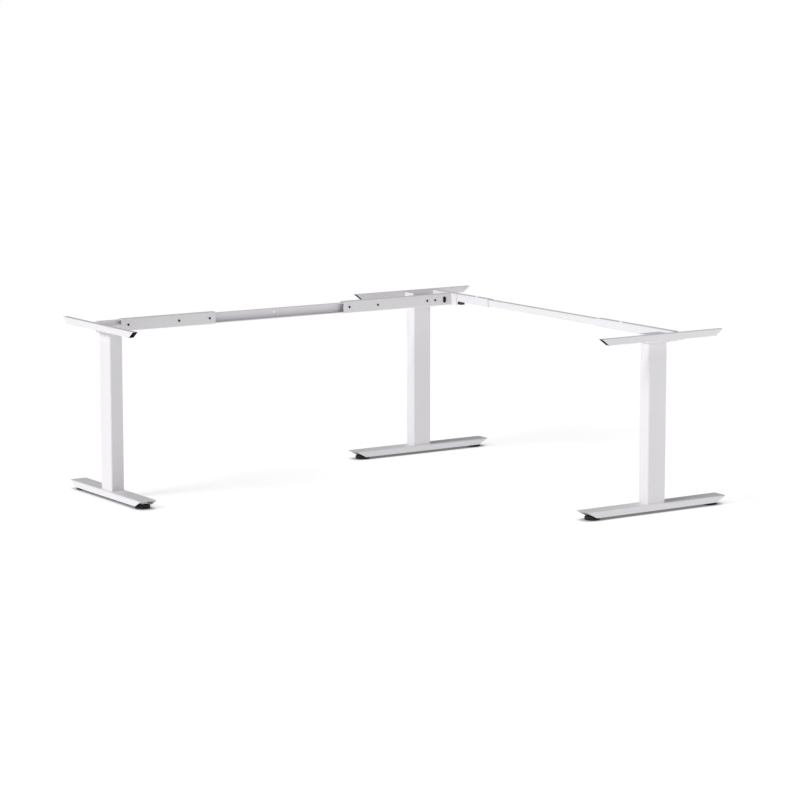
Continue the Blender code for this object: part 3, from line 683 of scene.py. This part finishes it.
def build_head(leg):
    """Cap over the column, wall along the arm and the stub inside the rail."""
    node = "head_" + leg
    hand = HAND[leg]
    rail = {"left": "rail_left_outer", "corner": "rail_far_outer", "right": "rail_near_outer"}[leg]
    rail_low, _ = leg_span(leg, rail)
    near, far = rail_low.y, rail_low.y + RAIL_DEPTH
    top = RAIL_TOP
    height = top - rail_low.z
    half_x = 0.5 * (CAP_FACE + HEAD_FRONT)
    shift = 0.5 * (CAP_FACE - HEAD_FRONT)
    soft = 0.0016

    levels = [(PLATE, top - PLATE), (PLATE, CAP_LOW + EDGE), (PLATE - EDGE, CAP_LOW), (EDGE, CAP_LOW),
              (0.0, CAP_LOW + EDGE)]
    for k in range(5):
        angle = QUARTER * k / 4
        levels.append((soft * (1.0 - math.cos(angle)), top - soft + soft * math.sin(angle)))
    parts = [loft([rounded_loop(half_x - inset, CAP_SIDE - inset, TUBE_ROUND - inset, z, 8, shift)
                   for inset, z in levels])]

    back = near + RAIL_DEPTH - RAIL_WALL - FIT
    inside = CAP_SIDE - 0.008
    if leg == "left":
        sheet = [(inside, WALL_LOW), (back, WALL_LOW), (back, LINK_TOP), (inside, LINK_TOP)]
    else:
        high = top - 0.001
        sheet = [(inside, CAP_LOW + 0.001), (WALL_DROP, CAP_LOW + 0.001), (WALL_DROP, WALL_LOW),
                 (back, WALL_LOW), (back, high), (inside, high)]
    parts.append(plate(sheet, -HEAD_FRONT, PLATE - HEAD_FRONT, lambda u, v, w: Vector((w, u * hand, v))))

    stub_top = top - RAIL_WALL - FIT
    stub_low = top - height + RAIL_WALL + FIT
    if leg == "left":
        start = LEFT_STUB_START
        path = inner_path(back, near + RAIL_WALL + FIT, stub_low, stub_top)
        reach = start + 0.002
        link = [(-HEAD_FRONT, WALL_LOW), (reach, WALL_LOW), (reach, LINK_TOP), (-HEAD_FRONT, LINK_TOP)]
        parts.append(plate(link, back - RAIL_WALL + 0.0001, back - 0.0001,
                           lambda u, v, w: Vector((u, w * hand, v))))
    else:
        start = PLATE - HEAD_FRONT - 0.001
        path = channel_path(near + RAIL_WALL + FIT, far - RAIL_WALL - FIT, stub_low, stub_top,
                            RAIL_LIP - 0.003)
    parts.append(bar_along_x(path, start, STUB_END, hand))

    if leg == "corner":
        parts.append(corner_bracket())
    mesh = finish_mesh(node + "_skin", *join(parts))
    add_piece("column_head_" + leg, mesh, POWDER, BODY_OF[node], [node], leg_matrix(leg))


# ---------------------------------------------------------------- arms under the worktop
def build_arm(leg):
    """Box tube with slanted open ends and screw holes for the worktop."""
    node = "arm_" + leg
    low, high = leg_span(leg, node)
    middle = 0.5 * (low.x + high.x)
    half = 0.5 * ARM_WALL
    path = [(low.x + half, low.z + half), (high.x - half, low.z + half),
            (high.x - half, high.z - half), (low.x + half, high.z - half)]
    reach = high.y

    def end(sign):
        return lambda u, v: sign * (reach - (high.z - v) * ARM_SLOPE)

    tube = sheet_bar(path, ARM_WALL, 0.0016, end(-1.0), end(1.0),
                     lambda u, v, w: Vector((u, w, v)), True, 6)
    holes = [rod(ARM_HOLE, (middle, y, low.z - 0.004), (middle, y, high.z + 0.004)) for y in ARM_HOLES]

    def steel_or_painted_shade_face(polygon):
        """Faces that take the dark steel: the inside of the tube, partly its own bare steel and partly
        painted shade, and the sawn ends, which are painted shade.
        """
        c = polygon.center
        across = abs(c.x - middle) < 0.5 * (high.x - low.x) - 0.75 * ARM_WALL
        inside = across and low.z + 0.75 * ARM_WALL < c.z < high.z - 0.75 * ARM_WALL
        return 1 if inside or abs(polygon.normal.y) > 0.5 else 0

    # the second slot paints shade inside the tube and on its sawn ends
    mesh = drilled_mesh(node + "_skin", *tube, holes, [POWDER, STEEL_AND_PAINTED_SHADE], steel_or_painted_shade_face)
    add_piece("arm_tube_" + leg, mesh, POWDER, BODY_OF[node], [node], leg_matrix(leg))


# ---------------------------------------------------------------- rails
def screw_holes(places):
    """Drills through the face of the left rails."""
    z = RAIL_TOP - SCREW_LEVEL
    return [rod(SCREW_HOLE, (x, U_NEAR - 0.004, z), (x, U_NEAR + 0.006, z)) for x in places]


def slot_loops(levels):
    """Loops round the cable slot; levels are (y from the rail face, growth of the outline)."""
    x = COLUMN["corner"].x - COLUMN["left"].x + SLOT_AFTER_CORNER
    z = RAIL_TOP - SCREW_LEVEL
    loops = []
    for y, grow in levels:
        flat = rounded_loop(SLOT_WIDTH + grow, SLOT_HEIGHT + grow, SLOT_WIDTH - 0.0001 + grow, 0.0, 9)
        loops.append([Vector((x + p.x, U_NEAR + y, z + p.y)) for p in flat])
    return loops


def raised_tab(leg, near):
    """The ear that carries the worktop level with the arms."""
    start, hand = TAB_STARTS[leg], HAND[leg]
    end = start + TAB_WIDTH
    outline = [(start, TAB_LOW), (end, TAB_LOW), (end, TOP), (start, TOP)]
    return plate(outline, near + 0.0001, near + TAB_DEPTH, lambda u, v, w: Vector((u, w * hand, v)), 0.0012)


def build_left_rails():
    """Left leg to corner: left outer, inner, and the right outer with its bent end."""
    place = leg_matrix("left")
    low, high = leg_span("left", "rail_left_outer")
    bottom = low.z
    path = channel_path(U_NEAR, U_NEAR + RAIL_DEPTH, bottom, RAIL_TOP, RAIL_LIP)
    parts = join([bar_along_x(path, low.x, high.x), raised_tab("left", U_NEAR)])
    mesh = drilled_mesh("rail_left_outer_skin", *parts, screw_holes(SCREWS_LEFT), [POWDER])
    add_piece("left_rail_outer", mesh, POWDER, BODY_OF["rail_left_outer"], ["rail_left_outer"], place)

    low, high = leg_span("left", "rail_left_inner")
    inner = bar_along_x(inner_path(high.y, low.y, low.z, high.z), low.x, high.x)
    x, z = INNER_HOLE
    hole = [rod(ARM_HOLE, (x, high.y - 0.006, z), (x, high.y + 0.006, z))]
    mesh = drilled_mesh("rail_left_inner_skin", *inner, hole, [POWDER])
    add_piece("left_rail_inner", mesh, POWDER, BODY_OF["rail_left_inner"], ["rail_left_inner"], place)

    low, high = leg_span("left", "rail_right_outer")
    end = high.x
    channel = bar_along_x(path, low.x, end - 0.004)
    half = 0.5 * RAIL_WALL
    bend = [(end - 0.010, U_NEAR + half), (end - half, U_NEAR + half), (end - half, low.y)]
    flange = sheet_bar(bend, RAIL_WALL, FLANGE_BEND + half, bottom, RAIL_TOP,
                       lambda u, v, w: Vector((u, v, w)), steps=8)
    holes = screw_holes(SCREWS_RIGHT + BRACKET_SCREWS)
    holes.append(loft(slot_loops([(-0.006, 0.0), (0.008, 0.0)])))
    mesh = cut_mesh(merged_mesh("rail_right_outer_skin", channel, flange), holes)
    add_piece("right_rail_outer", mesh, POWDER, BODY_OF["rail_right_outer"], ["rail_right_outer"], place)


def build_grommet():
    """Rolled lip round the cable slot, closed by a recessed web."""
    lip = slot_loops([(0.0054, -0.0012), (-0.0004, -0.0012), (-0.0016, -0.0006), (-0.0018, 0.0002),
                      (-0.0012, 0.0011), (-0.0004, 0.0012), (-0.0003, 0.0012), (-0.0003, -0.0003),
                      (0.0054, -0.0003)])
    web = slot_loops([(0.0034, -0.0008), (0.0048, -0.0008)])
    mesh = finish_mesh("grommet", *join([loft(lip, False, False), loft(web)]))
    add_piece("grommet_lip", mesh, PLASTIC, BODY_OF["cable_grommet"], ["cable_grommet"], leg_matrix("left"))


def build_right_rails():
    """Corner to right leg: an outer at each end, the inner between them, and the plug."""
    for leg, node in (("corner", "rail_far_outer"), ("right", "rail_near_outer")):
        hand = HAND[leg]
        low, high = leg_span(leg, node)
        path = channel_path(V_NEAR, V_NEAR + RAIL_DEPTH, low.z, RAIL_TOP, RAIL_LIP)
        parts = join([bar_along_x(path, low.x, high.x, hand), raised_tab(leg, V_NEAR)])
        mesh = finish_mesh(node + "_skin", *parts)
        add_piece(node.replace("rail_", "") + "_rail", mesh, POWDER, BODY_OF[node], [node], leg_matrix(leg))

    node = "rail_right_inner"
    low, high = leg_span("corner", node)
    path = inner_path(low.y, high.y, low.z, high.z)
    mesh = finish_mesh(node + "_skin", *bar_along_x(path, low.x, high.x))
    add_piece("right_rail_inner", mesh, POWDER, BODY_OF[node], [node], leg_matrix("corner"))

    low, high = leg_span("corner", "rail_plug")
    points, faces = rounded_box(low, high, 0.0018, 4)
    add_piece("plug_under_rail", finish_mesh("plug", points, faces), PLASTIC, BODY_OF["rail_plug"],
              ["rail_plug"], leg_matrix("corner"))


# ---------------------------------------------------------------- screws
def build_screw(node):
    """Button head with a hexagon socket on an M5 thread, facing -Y."""
    low, high = (Vector(corner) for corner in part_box(node))
    centre = Vector((0.5 * (low.x + high.x), 0.0, 0.5 * (low.z + high.z)))
    head, rise, reach = 0.0044, 0.0026, high.y
    face = low.y + rise
    profile = [(0.0022, 0.0003), (head - 0.0002, 0.0003), (head, 0.0006)]
    for k in range(7):
        angle = math.radians(15.0 + 12.5 * k)
        profile.append((head * math.cos(0.92 * angle) * 1.03, 0.0006 + (rise - 0.0006) * math.sin(angle)))
    profile += [(0.0019, rise, 6), (0.00165, rise - 0.0002, 6), (0.00165, 0.0010, 6)]
    dome = lathe(profile, 36)
    shank = thread(0.0025, 0.00035, 0.0008, -(reach - face), 0.0006)
    mesh = finish_mesh(node + "_skin", *join([dome, shank]), 40.0)
    place = Matrix.Translation((centre.x, face, centre.z)) @ Matrix.Rotation(QUARTER, 4, "X")
    add_piece(node.replace("screw", "button_screw"), mesh, OXIDE, BODY_OF[node], [node], place)


for leg_name in LEG_NAMES:
    build_column(leg_name)
    build_foot(leg_name)
    build_head(leg_name)
    build_arm(leg_name)
build_left_rails()
build_grommet()
build_right_rails()
for number in (1, 2, 3):
    build_screw("screw_left_%d" % number)
for number in (1, 2, 3, 4):
    build_screw("screw_right_%d" % number)

# hidden mechanism keeps its CAD shape
for leg_name in LEG_NAMES:
    for node_name, paint in (("bush_outer_", PLASTIC), ("bush_middle_", PLASTIC), ("screw_base_", ZINC),
                             ("screw_hollow_", ZINC), ("drive_tube_", ZINC), ("motor_", CAN)):
        carried = NODES[node_name + leg_name]
        for material_slot in carried.material_slots:
            material_slot.material = paint

# ---------------------------------------------------------------- floor, light and camera
FLOOR_GLOW = 0.765          # emission that lifts the open floor to white
FLOOR_PAINTED_SHADE = 0.10          # emission in the deepest painted shade
PAINTED_SHADE_REACH = 0.060         # how near a piece has to be to darken the floor's glow with painted shade
FLOOR_REACH = 600.0
FLOOR_LEVEL = -0.0006       # just below the pads


def studio_floor():
    """A pale seamless floor that runs past the horizon, its glow dimmed by ambient occlusion as painted
    shade where pieces come near it.
    """
    made, tree, shader = new_material("studio_floor", (0.38, 0.38, 0.38), 0.9)
    shader.inputs["Specular IOR Level"].default_value = 0.0
    shader.inputs["Emission Color"].default_value = (1.0, 1.0, 1.0, 1.0)
    # ambient occlusion lowers the floor's emission near pieces: painted contact shadow
    painted_contact_shade = tree.nodes.new("ShaderNodeAmbientOcclusion")
    painted_contact_shade.inputs["Distance"].default_value = PAINTED_SHADE_REACH
    glow = tree.nodes.new("ShaderNodeMapRange")
    glow.inputs["From Min"].default_value = 0.35
    glow.inputs["From Max"].default_value = 0.80
    glow.inputs["To Min"].default_value = FLOOR_PAINTED_SHADE
    glow.inputs["To Max"].default_value = FLOOR_GLOW
    tree.links.new(painted_contact_shade.outputs["AO"], glow.inputs["Value"])
    tree.links.new(glow.outputs["Result"], shader.inputs["Emission Strength"])
    mesh = bpy.data.meshes.new("studio_floor")
    sides = ((-1.0, -1.0), (1.0, -1.0), (1.0, 1.0), (-1.0, 1.0))
    corners = [(FLOOR_REACH * x, FLOOR_REACH * y, FLOOR_LEVEL) for x, y in sides]
    mesh.from_pydata(corners, [], [(0, 1, 2, 3)])
    mesh.materials.append(made)
    floor = bpy.data.objects.new("studio_floor", mesh)
    bpy.context.scene.collection.objects.link(floor)


studio_floor()

world = bpy.data.worlds.new("studio")
world.use_nodes = True
world.node_tree.nodes["Background"].inputs["Color"].default_value = (1.0, 1.0, 1.0, 1.0)
world.node_tree.nodes["Background"].inputs["Strength"].default_value = 0.22
bpy.context.scene.world = world

key_data = bpy.data.lights.new("key", "SUN")
key_data.energy = 2.1
key_data.angle = math.radians(24.0)
key = bpy.data.objects.new("key", key_data)
key.rotation_euler = Vector((-0.80, -0.03, 0.60)).to_track_quat("Z", "Y").to_euler()
bpy.context.scene.collection.objects.link(key)

fill_data = bpy.data.lights.new("fill", "AREA")
fill_data.energy = 30.0
fill_data.size = 2.0
fill = bpy.data.objects.new("fill", fill_data)
fill.location = (2.6, -3.6, 1.4)
fill.rotation_euler = Vector((2.0, -3.6, 1.1)).to_track_quat("Z", "Y").to_euler()
bpy.context.scene.collection.objects.link(fill)

camera_data = bpy.data.cameras.new("camera")
camera_data.sensor_width = 36.0
camera_data.lens = 133.95
camera_data.clip_end = 2000.0
camera = bpy.data.objects.new("camera", camera_data)
camera.location = COLUMN["left"] + Vector((-4.99035, -9.45176, 2.00886))
camera.rotation_euler = (QUARTER - 0.1537, 0.0, -0.5835)
bpy.context.scene.collection.objects.link(camera)
bpy.context.scene.camera = camera
bpy.context.scene.view_settings.view_transform = "Standard"
